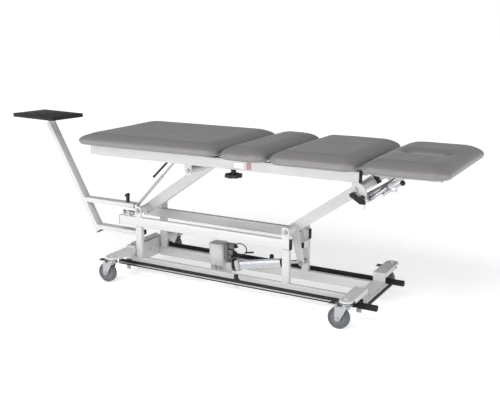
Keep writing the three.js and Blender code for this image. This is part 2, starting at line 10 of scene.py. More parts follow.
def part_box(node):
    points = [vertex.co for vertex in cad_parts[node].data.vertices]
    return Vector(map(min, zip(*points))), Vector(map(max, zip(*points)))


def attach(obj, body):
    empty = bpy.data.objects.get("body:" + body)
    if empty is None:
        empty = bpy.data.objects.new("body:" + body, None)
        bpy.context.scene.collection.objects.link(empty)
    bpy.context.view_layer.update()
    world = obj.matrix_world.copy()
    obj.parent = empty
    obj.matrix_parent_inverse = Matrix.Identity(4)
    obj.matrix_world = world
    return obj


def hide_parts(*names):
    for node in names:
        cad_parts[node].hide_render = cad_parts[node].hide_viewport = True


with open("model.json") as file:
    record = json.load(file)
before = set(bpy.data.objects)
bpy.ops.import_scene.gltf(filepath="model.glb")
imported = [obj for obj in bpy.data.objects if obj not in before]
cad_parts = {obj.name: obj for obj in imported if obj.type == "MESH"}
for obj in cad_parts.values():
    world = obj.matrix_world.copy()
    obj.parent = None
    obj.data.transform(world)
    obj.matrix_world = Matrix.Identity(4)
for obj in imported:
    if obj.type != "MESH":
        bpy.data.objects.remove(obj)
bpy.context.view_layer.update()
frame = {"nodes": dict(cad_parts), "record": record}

NODES = frame["nodes"]
S = 0.1792  # the CAD's X shift
scene = bpy.context.scene
COL = scene.collection


def P(x, y, z):
    """millimetres in the part's own drawing frame to metres in the row frame"""
    return Vector((x / 1000 + S, y / 1000, z / 1000))


# ------------------------------------------------------------------ camera
cam_data = bpy.data.cameras.new("camera")
cam = bpy.data.objects.new("camera", cam_data)
COL.objects.link(cam)
cam.location = P(1830, -3312, 1350)
cam.rotation_euler = (math.radians(76.5), 0, math.radians(28.95))
cam_data.sensor_width = 36
cam_data.lens = 55.69
cam_data.clip_end = 60
scene.camera = cam


# ------------------------------------------------------------------ node helpers
class Mat:
    def __init__(self, name):
        self.m = bpy.data.materials.new(name)
        self.m.use_nodes = True
        self.t = self.m.node_tree
        self.bsdf = next(n for n in self.t.nodes if n.type == "BSDF_PRINCIPLED")
        self.coord = self.t.nodes.new("ShaderNodeTexCoord")

    def n(self, kind, **kw):
        node = self.t.nodes.new(kind)
        for k, v in kw.items():
            if k.startswith("i_"):
                node.inputs[k[2:].replace("_", " ")].default_value = v
            else:
                setattr(node, k, v)
        return node

    def link(self, a, b):
        self.t.links.new(a, b)

    def mapping(self, scale=(1, 1, 1), loc=(0, 0, 0), rot=(0, 0, 0)):
        m = self.n("ShaderNodeMapping")
        m.inputs["Scale"].default_value = scale
        m.inputs["Location"].default_value = loc
        m.inputs["Rotation"].default_value = rot
        self.link(self.coord.outputs["Object"], m.inputs["Vector"])
        return m.outputs["Vector"]

    def noise(self, scale, detail=3, rough=0.55, vec=None, dist=0.0):
        t = self.n("ShaderNodeTexNoise")
        t.inputs["Scale"].default_value = scale
        t.inputs["Detail"].default_value = detail
        t.inputs["Roughness"].default_value = rough
        t.inputs["Distortion"].default_value = dist
        self.link(vec if vec is not None else self.coord.outputs["Object"], t.inputs["Vector"])
        return t.outputs["Fac"]

    def voronoi(self, scale, vec=None, feature="F1"):
        t = self.n("ShaderNodeTexVoronoi", feature=feature)
        t.inputs["Scale"].default_value = scale
        self.link(vec if vec is not None else self.coord.outputs["Object"], t.inputs["Vector"])
        return t.outputs["Distance"]

    def ramp(self, fac, stops):
        r = self.n("ShaderNodeValToRGB")
        e = r.color_ramp.elements
        while len(e) < len(stops):
            e.new(0.5)
        for el, (p, c) in zip(e, stops):
            el.position = p
            el.color = (*c, 1) if len(c) == 3 else c
        self.link(fac, r.inputs["Fac"])
        return r.outputs["Color"]

    def mapr(self, fac, a, b, c, d):
        r = self.n("ShaderNodeMapRange")
        r.inputs["From Min"].default_value = a
        r.inputs["From Max"].default_value = b
        r.inputs["To Min"].default_value = c
        r.inputs["To Max"].default_value = d
        self.link(fac, r.inputs["Value"])
        return r.outputs["Result"]

    def math(self, op, a, b=None, v=None):
        m = self.n("ShaderNodeMath", operation=op)
        self.link(a, m.inputs[0])
        if b is not None:
            self.link(b, m.inputs[1])
        if v is not None:
            m.inputs[1].default_value = v
        return m.outputs[0]

    def mix(self, fac, a, b):
        m = self.n("ShaderNodeMix", data_type="RGBA")
        if isinstance(fac, float):
            m.inputs[0].default_value = fac
        else:
            self.link(fac, m.inputs[0])
        for s, v in ((6, a), (7, b)):
            if isinstance(v, tuple):
                m.inputs[s].default_value = (*v, 1)
            else:
                self.link(v, m.inputs[s])
        return m.outputs[2]

    def bump(self, *layers):
        """layers: (height socket, strength, distance)"""
        last = None
        for h, strength, dist in layers:
            b = self.n("ShaderNodeBump")
            b.inputs["Strength"].default_value = strength
            b.inputs["Distance"].default_value = dist
            self.link(h, b.inputs["Height"])
            if last is not None:
                self.link(last, b.inputs["Normal"])
            last = b.outputs["Normal"]
        self.link(last, self.bsdf.inputs["Normal"])

    def set(self, **kw):
        for k, v in kw.items():
            sock = self.bsdf.inputs[k.replace("_", " ")]
            if hasattr(v, "is_linked") or hasattr(v, "node"):
                self.link(v, sock)
            else:
                sock.default_value = (*v, 1) if isinstance(v, tuple) and len(v) == 3 else v
        return self


def powder_coat(name, base, rough=0.36, dusty=0.10):
    m = Mat(name)
    broad = m.noise(3.2, 3, 0.5)
    fine = m.noise(60, 4, 0.6)
    col = m.ramp(broad, [(0.3, tuple(c * (1 - dusty * 0.35) for c in base)), (0.7, base)])
    speck = m.ramp(fine, [(0.42, tuple(c * 0.97 for c in base)), (0.62, tuple(min(c * 1.02, 1) for c in base))])
    mixed = m.mix(0.35, col, speck)
    # painted shade: convex corners are painted slightly darker, so that the rounded edges read as shaded
    edge = m.n("ShaderNodeNewGeometry").outputs["Pointiness"]
    e = m.mapr(edge, 0.53, 0.62, 0.0, 0.35)
    m.set(Base_Color=m.mix(e, mixed, tuple(c * 0.86 for c in base)))
    m.set(Roughness=m.mapr(m.noise(26, 3), 0.3, 0.7, rough - 0.05, rough + 0.08), Metallic=0.0)
    m.set(Coat_Weight=0.25, Coat_Roughness=0.2)
    m.bump((m.noise(520, 2, 0.5), 0.14, 0.0004), (m.noise(1700, 1), 0.08, 0.0002))
    return m.m


def vinyl(name, base):
    m = Mat(name)
    cells = m.voronoi(520, feature="DISTANCE_TO_EDGE")
    grain = m.ramp(cells, [(0.0, (0, 0, 0)), (0.16, (1, 1, 1))])
    pores = m.noise(1500, 2)
    broad = m.noise(2.6, 2, 0.5)
    mid = m.noise(38, 4, 0.6)
    col = m.ramp(broad, [(0.25, tuple(c * 0.95 for c in base)), (0.75, tuple(c * 1.04 for c in base))])
    col2 = m.ramp(mid, [(0.35, tuple(c * 0.96 for c in base)), (0.65, tuple(c * 1.03 for c in base))])
    mixed = m.mix(0.5, col, col2)
    # painted shade: the grain's valleys are painted darker, as shade in the recesses
    grain_valley_shade = m.mix(m.mapr(cells, 0.0, 0.12, 0.22, 0.0), mixed, tuple(c * 0.72 for c in base))
    m.set(Base_Color=grain_valley_shade, Metallic=0.0)
    m.set(Roughness=m.mapr(m.noise(14, 3), 0.3, 0.7, 0.36, 0.45))
    m.set(Sheen_Weight=0.04, Sheen_Roughness=0.5, Specular_IOR_Level=0.46, Coat_Weight=0.22, Coat_Roughness=0.34)
    m.bump((m.noise(9, 2), 0.10, 0.004), (grain, 0.10, 0.0003), (pores, 0.08, 0.0002))
    return m.m


def black_coat(name, base=(0.016, 0.016, 0.018), rough=0.38, scale=620):
    m = Mat(name)
    c = m.ramp(m.noise(22, 4), [(0.35, base), (0.7, tuple(x * 1.9 for x in base))])
    m.set(Base_Color=c, Roughness=m.mapr(m.noise(34, 3), 0.3, 0.7, rough - 0.06, rough + 0.1), Metallic=0.0, Specular_IOR_Level=0.3)
    m.bump((m.noise(scale, 3, 0.6), 0.2, 0.0005), (m.noise(scale * 3, 1), 0.1, 0.0002))
    return m.m


def rubber(name, base=(0.012, 0.012, 0.013)):
    m = Mat(name)
    c = m.ramp(m.noise(45, 4), [(0.35, base), (0.7, tuple(x * 2.1 for x in base))])
    m.set(Base_Color=c, Roughness=m.mapr(m.noise(80, 3), 0.3, 0.7, 0.55, 0.72), Specular_IOR_Level=0.22)
    m.bump((m.voronoi(900), 0.25, 0.0004), (m.noise(2400, 1), 0.1, 0.0002))
    return m.m


def zinc(name, base=(0.44, 0.45, 0.47), rough=0.28):
    m = Mat(name)
    spangle = m.voronoi(160)
    c = m.ramp(spangle, [(0.1, tuple(x * 0.86 for x in base)), (0.7, base)])
    stain = m.noise(11, 4, 0.65)
    c2 = m.mix(m.mapr(stain, 0.55, 0.75, 0.0, 0.35), c, (0.42, 0.40, 0.36))
    m.set(Base_Color=c2, Metallic=1.0, Roughness=m.mapr(m.noise(60, 4), 0.3, 0.7, rough - 0.06, rough + 0.12))
    m.bump((m.noise(700, 3), 0.12, 0.0003))
    return m.m


def alloy(name, base=(0.78, 0.80, 0.83)):
    m = Mat(name)
    a = math.atan2(100, 485)
    streak = m.mapping(scale=(6, 900, 900), rot=(0, a, 0))
    s = m.noise(1.0, 4, 0.6, vec=streak)
    c = m.ramp(s, [(0.3, tuple(x * 0.88 for x in base)), (0.7, base)])
    m.set(Base_Color=c, Metallic=0.55, Roughness=m.mapr(s, 0.3, 0.7, 0.30, 0.42))
    m.bump((s, 0.12, 0.0003))
    return m.m


def moulded(name, base, rough=0.5):
    m = Mat(name)
    c = m.ramp(m.noise(30, 4), [(0.3, tuple(x * 0.94 for x in base)), (0.7, tuple(min(1, x * 1.03) for x in base))])
    m.set(Base_Color=c, Roughness=m.mapr(m.noise(50, 2), 0.3, 0.7, rough - 0.05, rough + 0.08))
    m.bump((m.noise(1100, 2), 0.22, 0.0004), (m.noise(8, 2), 0.05, 0.002))
    return m.m


def wheel_mat(name, cx, cz):
    """grey hub and darker tread, told apart by distance from the axle"""
    m = Mat(name)
    sep = m.n("ShaderNodeSeparateXYZ")
    m.link(m.coord.outputs["Object"], sep.inputs[0])
    dx = m.math("SUBTRACT", sep.outputs["X"], v=cx)
    dz = m.math("SUBTRACT", sep.outputs["Z"], v=cz)
    r = m.math("SQRT", m.math("ADD", m.math("MULTIPLY", dx, dx), m.math("MULTIPLY", dz, dz)))
    edge = m.mapr(r, 0.0392, 0.0400, 0.0, 1.0)
    hub = m.ramp(m.noise(70, 4), [(0.3, (0.15, 0.165, 0.185)), (0.7, (0.20, 0.215, 0.24))])
    tread = m.ramp(m.noise(110, 5, 0.65), [(0.3, (0.070, 0.080, 0.096)), (0.7, (0.105, 0.115, 0.135))])
    worn = m.mix(m.mapr(r, 0.0496, 0.0508, 0.0, 0.45), tread, (0.15, 0.15, 0.155))
    m.set(Base_Color=m.mix(edge, hub, worn))
    m.set(Roughness=m.mapr(edge, 0, 1, 0.42, 0.66))
    m.bump((m.noise(600, 3), 0.22, 0.0005))
    return m.m


def blank_label(name):
    m = Mat(name)
    c = m.ramp(m.noise(90, 3), [(0.3, (0.88, 0.88, 0.88)), (0.7, (0.94, 0.94, 0.94))])
    m.set(Base_Color=c, Roughness=m.mapr(m.noise(60, 2), 0.3, 0.7, 0.28, 0.4))
    m.bump((m.noise(900, 2), 0.1, 0.0002))
    return m.m


CREAM = powder_coat("cream_powder_coat", (0.59, 0.59, 0.585))
VINYL = vinyl("grey_vinyl", (0.190, 0.182, 0.183))
BLACK = black_coat("black_powder_coat")
BLACKP = black_coat("black_moulding", (0.012, 0.012, 0.013), 0.42, 420)
RUBBER = rubber("black_rubber")
ZINC = zinc("bright_zinc")
STEEL = zinc("dull_steel", (0.42, 0.42, 0.42), 0.36)
ALLOY = alloy("anodised_alloy")
MOTOR = moulded("motor_grey", (0.55, 0.545, 0.535))
GEAR = moulded("gear_grey", (0.14, 0.14, 0.145), 0.42)
LABEL = blank_label("blank_label")


def tipped(name, z_tip):
    """black moulding whose lower end is bright metal"""
    m = Mat(name)
    sep = m.n("ShaderNodeSeparateXYZ")
    m.link(m.coord.outputs["Object"], sep.inputs[0])
    k = m.mapr(sep.outputs["Z"], z_tip - 0.0004, z_tip + 0.0004, 1.0, 0.0)
    dark = m.ramp(m.noise(22, 4), [(0.35, (0.008, 0.008, 0.009)), (0.7, (0.016, 0.016, 0.017))])
    metal = m.ramp(m.voronoi(160), [(0.1, (0.50, 0.51, 0.53)), (0.7, (0.58, 0.60, 0.62))])
    m.set(Base_Color=m.mix(k, dark, metal), Metallic=k, Roughness=m.mapr(m.noise(50, 4), 0.3, 0.7, 0.30, 0.42), Specular_IOR_Level=0.2)
    m.bump((m.noise(700, 3), 0.15, 0.0004))
    return m.m


HANDLE = tipped("handle_with_metal_tip", 0.5605)
BARS = tipped("black_bar_bright_feet", 0.0635)
TABLE = black_coat("black_table_top", (0.010, 0.010, 0.011), 0.5, 420)
# dark matte for the cushion boards, also used for the painted shade strips under the cushion seams
DUST_COVER_AND_SEAM_SHADE = black_coat("dust_cover", (0.022, 0.022, 0.023), 0.75, 1200)

# ------------------------------------------------------------------ CAD nodes: finish and softened edges
SLOT = {s["node"]: s["material_slot"] for s in frame["record"]["subparts"]}
BY_SLOT = {"frame_cream": CREAM, "black_metal": BLACK, "black_plastic": BLACKP, "motor_grey": MOTOR, "zinc": ZINC, "alloy": ALLOY, "upholstery": VINYL}
for name, ob in NODES.items():
    s = SLOT[name]
    if s == "wheel_grey":
        lo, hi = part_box(name)
        mat = wheel_mat("tread_" + name, (lo.x + hi.x) / 2, (lo.z + hi.z) / 2)
    else:
        mat = BY_SLOT[s]
    if name == "release_handle":
        mat = HANDLE
    if name == "stand_platform":
        mat = TABLE
    if name in ("activation_bar_near", "activation_bar_far"):
        mat = BARS
    ob.data.materials.clear()
    ob.data.materials.append(mat)
    if name.startswith("pad_"):
        continue
    for poly in ob.data.polygons:
        poly.material_index = 0
        poly.use_smooth = True
    for a in ("custom_normal",):
        if a in ob.data.attributes:
            ob.data.attributes.remove(ob.data.attributes[a])
    w = ob.modifiers.new("weld", "WELD")
    w.merge_threshold = 0.00002
    small = name.startswith(("caster_", "lock_", "gas_", "limit_", "actuator_lead", "slide_lever", "pivot_rod", "stand_clamp"))
    b = ob.modifiers.new("edges", "BEVEL")
    b.width = 0.0005 if small else 0.0011
    b.segments = 2
    b.limit_method = "ANGLE"
    b.angle_limit = math.radians(38)
    b.harden_normals = True
    b.use_clamp_overlap = True


# ------------------------------------------------------------------ mesh helpers
def new_obj(name, bm, mat, smooth=True, sharp=38.0):
    me = bpy.data.meshes.new(name)
    bmesh.ops.recalc_face_normals(bm, faces=bm.faces)
    bm.to_mesh(me)
    bm.free()
    ob = bpy.data.objects.new(name, me)
    COL.objects.link(ob)
    for mt in mat if isinstance(mat, (list, tuple)) else [mat]:
        me.materials.append(mt)
    if smooth:
        for p in me.polygons:
            p.use_smooth = True
        me.set_sharp_from_angle(angle=math.radians(sharp))
    return ob


def put(name, bm, mat, body, smooth=True, sharp=38.0):
    ob = new_obj(name, bm, mat, smooth, sharp)
    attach(ob, body)
    return ob


def basis(direction):
    z = Vector(direction).normalized()
    x = z.orthogonal().normalized()
    return Matrix((x, z.cross(x), z)).transposed().to_4x4()


def add_box(bm, lo, hi, bevel=0.0, seg=2, mtx=None):
    """a box with rounded edges; lo and hi in metres"""
    lo, hi = Vector(lo), Vector(hi)
    g = bmesh.ops.create_cube(bm, size=1.0)
    vs = g["verts"]
    c, d = (lo + hi) / 2, hi - lo
    for v in vs:
        v.co = Vector((v.co.x * d.x, v.co.y * d.y, v.co.z * d.z)) + c
    if bevel:
        es = list({e for v in vs for e in v.link_edges})
        r = bmesh.ops.bevel(bm, geom=es, offset=bevel, segments=seg, affect="EDGES", profile=0.5)
        vs = list({v for f in r["faces"] for v in f.verts} | {v for v in vs if v.is_valid})
    if mtx is not None:
        bmesh.ops.transform(bm, matrix=mtx, verts=vs)
    return vs


def add_lathe(bm, prof, p0, direction, seg=24):
    """prof: list of (radius, height); closed on the axis at both ends or on itself"""
    m = Matrix.Translation(Vector(p0)) @ basis(direction)
    rings = []
    for r, h in prof:
        if r < 1e-7:
            rings.append([bm.verts.new(m @ Vector((0, 0, h)))])
        else:
            rings.append([bm.verts.new(m @ Vector((r * math.cos(2 * math.pi * i / seg), r * math.sin(2 * math.pi * i / seg), h))) for i in range(seg)])
    for a, b in zip(rings, rings[1:]):
        for i in range(seg):
            j = (i + 1) % seg
            q = [a[i % len(a)], a[j % len(a)], b[j % len(b)], b[i % len(b)]]
            q = [v for k, v in enumerate(q) if v not in q[:k]]
            if len(q) > 2:
                bm.faces.new(q)
    return [v for r in rings for v in r]


def rod(bm, a, b, r, seg=16, ch=0.0006):
    d = Vector(b) - Vector(a)
    L = d.length
    return add_lathe(bm, [(0, 0), (r - ch, 0), (r, ch), (r, L - ch), (r - ch, L), (0, L)], a, d, seg)


def hexbolt(bm, p, direction, af=0.013, h=0.005, washer=0.010, shank=None, turn=0.2):
    """washer, hex head with a chamfer, standing on p along direction"""
    d = Vector(direction).normalized()
    add_lathe(bm, [(0, 0), (washer, 0), (washer, 0.0011), (washer - 0.0004, 0.0015), (0, 0.0015)], p, d, 24)
    m = Matrix.Translation(Vector(p) + d * 0.0015) @ basis(d) @ Matrix.Rotation(turn, 4, "Z")
    R = af / math.sqrt(3)
    levels = [(R, 0), (R, h * 0.78), (R * 0.86, h), (0, h)]
    rings = []
    for r, z in levels:
        rings.append([bm.verts.new(m @ Vector((0, 0, z)))] if r == 0 else [bm.verts.new(m @ Vector((r * math.cos(k * math.pi / 3), r * math.sin(k * math.pi / 3), z))) for k in range(6)])
    bm.faces.new(rings[0])
    for a, b in zip(rings, rings[1:]):
        for i in range(6):
            q = [a[i], a[(i + 1) % 6], b[(i + 1) % 6 % len(b)], b[i % len(b)]]
            q = [v for k, v in enumerate(q) if v not in q[:k]]
            bm.faces.new(q)


def screw(bm, p, direction, r=0.0045, h=0.0022):
    """socket button head"""
    add_lathe(bm, [(0, 0), (r, 0), (r, h * 0.35), (r * 0.8, h * 0.85), (r * 0.45, h), (r * 0.42, h * 0.3), (0, h * 0.3)], p, direction, 18)


def sweep(bm, pts, r, seg=10, closed_ends=True):
    pts = [Vector(p) for p in pts]
    prev = None
    up = None
    rings = []
    for i, p in enumerate(pts):
        t = (pts[min(i + 1, len(pts) - 1)] - pts[max(i - 1, 0)]).normalized()
        if up is None:
            up = t.orthogonal().normalized()
        up = (up - t * up.dot(t)).normalized()
        s = t.cross(up)
        rings.append([bm.verts.new(p + (up * math.cos(2 * math.pi * k / seg) + s * math.sin(2 * math.pi * k / seg)) * r) for k in range(seg)])
    for a, b in zip(rings, rings[1:]):
        for k in range(seg):
            bm.faces.new([a[k], a[(k + 1) % seg], b[(k + 1) % seg], b[k]])
    if closed_ends:
        bm.faces.new(rings[0][::-1])
        bm.faces.new(rings[-1])


# ------------------------------------------------------------------ cushions
TOP_Z = 0.770
HALF_Y = 0.343


def outline(x0, x1, hy, radii, inset, n=9, step=0.02):
    """rounded rectangle pulled in by inset, always the same number of points"""
    cx, hx = (x0 + x1) / 2, (x1 - x0) / 2
    corners = [(1, -1, radii[1], -90), (1, 1, radii[1], 0), (-1, 1, radii[0], 90), (-1, -1, radii[0], 180)]
    pts = []
    for k, (sx, sy, R, a0) in enumerate(corners):
        r = max(R - inset * 0.8, 0.012)
        ox, oy = cx + sx * (hx - inset - r), sy * (hy - inset - r)
        for i in range(n):
            a = math.radians(a0 + 90 * i / (n - 1))
            pts.append(Vector((ox + r * math.cos(a), oy + r * math.sin(a), 0)))
    return pts


def cushion_shape(x0, x1, radii, shrink, zb):
    """crowned pad: broad elliptical upper edge running down to a low widest line, rolled underside"""
    bm = bmesh.new()
    hy = HALF_Y - shrink
    xa, xb = x0 + shrink, x1 - shrink
    W, T = 0.092, TOP_Z - shrink * 0.6
    mid, tuck = zb + 0.0215, 0.021
    prof = [(0.060, zb + 0.0004), (0.030, zb + 0.0003)]
    for a in (80, 65, 50, 35, 20, 8):
        t = math.radians(a)
        prof.append((tuck * (1 - math.cos(t)), mid - (mid - zb) * math.sin(t)))
    n = 14
    for i in range(0, n + 1):
        a = math.pi / 2 * i / n
        prof.append((W * (1 - math.cos(a) ** 1.06), mid + (T - mid) * math.sin(a)))
    rings = []
    for inset, z in prof:
        rings.append([bm.verts.new(Vector((p.x, p.y, z))) for p in outline(xa, xb, hy, radii, inset)])
    for a, b in zip(rings, rings[1:]):
        m = len(a)
        for i in range(m):
            bm.faces.new([a[i], a[(i + 1) % m], b[(i + 1) % m], b[i]])
    bm.faces.new(rings[0][::-1])
    bm.faces.new(rings[-1])
    bmesh.ops.recalc_face_normals(bm, faces=bm.faces)
    return bm


def slot_cutter():
    """face slot, flared at the top so that the vinyl rolls into it"""
    bm = bmesh.new()
    cx, L, Wd = P(886, 0, 0).x, 0.210, 0.084
    levels = [(0.690, 0.004), (0.704, 0.0), (0.742, 0.0), (0.752, 0.0025), (0.760, 0.007), (0.766, 0.014), (0.771, 0.024), (0.785, 0.040)]
    rings = []
    for z, grow in levels:
        hx, hy = L / 2 - 0.008 + grow, Wd / 2 - 0.006 + grow
        r = hy - 0.002
        ring = []
        for sx, sy, a0 in ((1, -1, -90), (1, 1, 0), (-1, 1, 90), (-1, -1, 180)):
            for i in range(8):
                a = math.radians(a0 + 90 * i / 7)
                ring.append(bm.verts.new(Vector((cx + sx * (hx - r) + r * math.cos(a), sy * (hy - r) + r * math.sin(a), z))))
        rings.append(ring)
    for a, b in zip(rings, rings[1:]):
        m = len(a)
        for i in range(m):
            bm.faces.new([a[i], a[(i + 1) % m], b[(i + 1) % m], b[i]])
    bm.faces.new(rings[0][::-1])
    bm.faces.new(rings[-1])
    bmesh.ops.recalc_face_normals(bm, faces=bm.faces)
    return bm


def apply_mods(ob):
    dg = bpy.context.evaluated_depsgraph_get()
    me = bpy.data.meshes.new_from_object(ob.evaluated_get(dg), depsgraph=dg)
    ob.modifiers.clear()
    old = ob.data
    ob.data = me
    bpy.data.meshes.remove(old)


def smooth_swell(me, start, moved, rounds, gain):
    """average the simulated displacement over neighbouring vertices, so that foam, not loose cloth, shows"""
    n = len(start)
    e = np.empty(len(me.edges) * 2, dtype=np.int64)
    me.edges.foreach_get("vertices", e)
    e = e.reshape(-1, 2)
    a = np.array([tuple(v) for v in start])
    d = np.array([tuple(v) for v in moved]) - a
    count = np.bincount(e.ravel(), minlength=n).astype(float)[:, None]
    for _ in range(rounds):
        acc = np.zeros_like(d)
        for k in range(3):
            acc[:, k] = np.bincount(e[:, 0], d[e[:, 1], k], n) + np.bincount(e[:, 1], d[e[:, 0], k], n)
        d = 0.4 * d + 0.6 * acc / np.maximum(count, 1)
    return [Vector(v) for v in (a + gain * d)]


def make_cushion(name, node, x0, x1, radii, cap, zb, slot=False, body="top"):
    x0, x1 = P(x0, 0, 0).x, P(x1, 0, 0).x
    ob = new_obj(name, cushion_shape(x0, x1, radii, 0.0008, zb), VINYL, smooth=False)
    if slot:
        cut = new_obj(name + "_cut", slot_cutter(), VINYL, smooth=False)
        bo = ob.modifiers.new("slot", "BOOLEAN")
        bo.object, bo.operation, bo.solver = cut, "DIFFERENCE", "EXACT"
        apply_mods(ob)
        bpy.data.objects.remove(cut)
    rm = ob.modifiers.new("remesh", "REMESH")
    rm.mode = "VOXEL"
    rm.voxel_size = 0.0062
    apply_mods(ob)
    sm = ob.modifiers.new("smooth", "SMOOTH")
    sm.factor, sm.iterations = 0.5, 4
    apply_mods(ob)
    start = [v.co.copy() for v in ob.data.vertices]
    vg = ob.vertex_groups.new(name="pin")
    for v in ob.data.vertices:
        z = v.co.z
        w = 1.0 if z < zb + 0.010 else 0.0
        if slot and abs(v.co.y) < 0.046 and P(778, 0, 0).x < v.co.x < P(994, 0, 0).x and z < 0.745:
            w = 1.0
        if w:
            vg.add([v.index], w, "REPLACE")
    cl = ob.modifiers.new("cloth", "CLOTH")
    st = cl.settings
    st.quality = 5
    st.mass = 0.35
    st.tension_stiffness = st.compression_stiffness = 18
    st.shear_stiffness = 8
    st.bending_stiffness = 1.2
    st.use_pressure = True
    st.uniform_pressure_force = 4.0
    st.vertex_group_mass = "pin"
    st.pin_stiffness = 1.0
    st.effector_weights.gravity = 0.0
    cl.collision_settings.use_collision = False
    cl.point_cache.frame_start, cl.point_cache.frame_end = 1, 20
    for f in range(1, 21):
        scene.frame_set(f)
        dg = bpy.context.evaluated_depsgraph_get()
        ob.evaluated_get(dg)
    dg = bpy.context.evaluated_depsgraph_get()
    ev = ob.evaluated_get(dg)
    moved = smooth_swell(ob.data, start, [v.co.copy() for v in ev.data.vertices], 26, 0.55)
    ob.modifiers.clear()
    ob.vertex_groups.clear()
    scene.frame_set(1)
    xm, hx = (x0 + x1) / 2, (x1 - x0) / 2
    for v, a, b in zip(ob.data.vertices, start, moved):
        d = b - a
        if d.length > cap:
            d = d.normalized() * cap
        co = a + d
        # tiny pulls where the vinyl is gathered under each corner
        for sx, sy, R in ((1, 1, radii[1]), (1, -1, radii[1]), (-1, 1, radii[0]), (-1, -1, radii[0])):
            ox, oy = xm + sx * (hx - R), sy * (HALF_Y - R)
            dx, dy = (co.x - ox) * sx, (co.y - oy) * sy
            if dx > 0 and dy > 0:
                ang = math.atan2(dy, dx)
                f = max(0.0, 1 - abs(co.z - zb - 0.008) / 0.012) * math.sin(2 * ang)
                rr = math.hypot(dx, dy)
                if rr > R * 0.6:
                    co += Vector((sx * dx, sy * dy, 0)).normalized() * (-0.0011 * f * (0.5 + 0.5 * math.cos(30 * ang)))
        n = noise.noise(Vector((co.x * 9, co.y * 9, co.z * 9))) * 0.0007
        if co.z > 0.745:
            co.z += n
        co.x = min(max(co.x, x0 + 0.0006), x1 - 0.0006)
        co.y = min(max(co.y, -HALF_Y + 0.0004), HALF_Y - 0.0004)
        co.z = min(max(co.z, zb + 0.0003), TOP_Z + 0.0035)
        v.co = co
    sub = ob.modifiers.new("sub", "SUBSURF")
    sub.levels = sub.render_levels = 1
    apply_mods(ob)
    for p in ob.data.polygons:
        p.use_smooth = True
    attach(ob, body)
    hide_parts(node)
    return ob


CUSHIONS = (
    ("leg", -846, -5, (0.068, 0.062), 0.717, "leg_section"),
    ("lumbar", 3, 247, (0.062, 0.062), 0.711, "top"),
    ("back", 254, 679, (0.062, 0.062), 0.711, "top"),
    ("head", 692, 1077, (0.062, 0.068), 0.711, "head_section"),
)
for nm, x0, x1, radii, zb, body in CUSHIONS:
    make_cushion("cushion_" + nm, "pad_" + nm, x0, x1, radii, 0.0045, zb, slot=nm == "head", body=body)

# plywood boards the cushions are stapled to, with a dust cover under each
for nm, x0, x1, radii, zb, body in CUSHIONS:
    for part, e, z0, z1, mat in (("board", 50, 700.8, zb * 1000 + 3, DUST_COVER_AND_SEAM_SHADE), ("dust_cover", 56, 699.4, 700.6, BLACKP)):
        bm = bmesh.new()
        lo, hi = P(x0 + e, -343 + e + 48, z0), P(x1 - e, 343 - e - 48, z1)
        if nm == "head":
            a, b = P(774, 0, 0).x, P(998, 0, 0).x
            add_box(bm, lo, (a, hi.y, hi.z), 0.0005)
            add_box(bm, (b, lo.y, lo.z), hi, 0.0005)
            add_box(bm, (a + 0.0002, lo.y, lo.z), (b - 0.0002, -0.050, hi.z), 0.0005)
            add_box(bm, (a + 0.0002, 0.050, lo.z), (b - 0.0002, hi.y, hi.z), 0.0005)
        else:
            add_box(bm, lo, hi, 0.0006)
        put(part + "_" + nm, bm, mat, body)


# ------------------------------------------------------------------ plugs, bolts and small hardware
def plug_x(bm, x, s, yc, zc, wy, hz, t=4.0, lip=0.2):
    """rounded end plug standing on a tube's open end at x, facing along s"""
    a, b = (x, x + s * t) if s > 0 else (x + s * t, x)
    add_box(bm, P(a, yc - wy / 2 - lip, zc - hz / 2 - lip), P(b, yc + wy / 2 + lip, zc + hz / 2 + lip), 0.0016, 3)
    c, d = (x - 9, x - 0.2) if s > 0 else (x + 0.2, x + 9)
    add_box(bm, P(c, yc - wy / 2 + 2.3, zc - hz / 2 + 2.3), P(d, yc + wy / 2 - 2.3, zc + hz / 2 - 2.3), 0.0005, 1)


bm = bmesh.new()
for y in (-111.3, 111.3):
    plug_x(bm, 279.2, 1, y, 286.4, 25.4, 50.8, 5.5)
    plug_x(bm, -736.2, -1, y, 286.4, 25.4, 50.8, 3.0)
put("rail_plugs_mid", bm, RUBBER, "base")
bm = bmesh.new()
for y in (-204.3, 204.3):
    plug_x(bm, 656.2, 1, y, 671.6, 25.4, 50.8, 7)
    plug_x(bm, -830.2, -1, y, 671.6, 25.4, 50.8, 2.4)
put("rail_plugs_top", bm, RUBBER, "top")
bm = bmesh.new()
yc = (-97.5 - 46.7) / 2
plug_x(bm, -621.8, 1, yc, 214, 50.8, 25.4, 5)
plug_x(bm, -659.8, 1, yc, 361, 50.8, 25.4, 4)
# slanted post's lower plug
u = Vector((-324, 0, 585)).normalized()
mtx = Matrix.Translation(P(-913, yc, 190)) @ Matrix(((u.z, 0, u.x, 0), (0, 1, 0, 0), (-u.x, 0, u.z, 0), (0, 0, 0, 1)))
add_box(bm, (-0.0129, -0.0256, -0.0055), (0.0129, 0.0256, -0.0002), 0.0016, 3, mtx)
add_box(bm, (-0.0104, -0.0231, 0.0), (0.0104, 0.0231, 0.010), 0.0005, 1, mtx)
put("stand_plugs", bm, RUBBER, "base")
# plug in the drive arm's open end, and a short stub tube between the crank plates
A = math.radians(35)
ax = Vector((math.cos(A), 0, math.sin(A)))
up = Vector((-math.sin(A), 0, math.cos(A)))


def arm_frame(px, pz):
    return Matrix.Translation(P(px, 0, pz)) @ Matrix(((ax.x, 0, up.x, 0), (0, 1, 0, 0), (ax.z, 0, up.z, 0), (0, 0, 0, 1)))


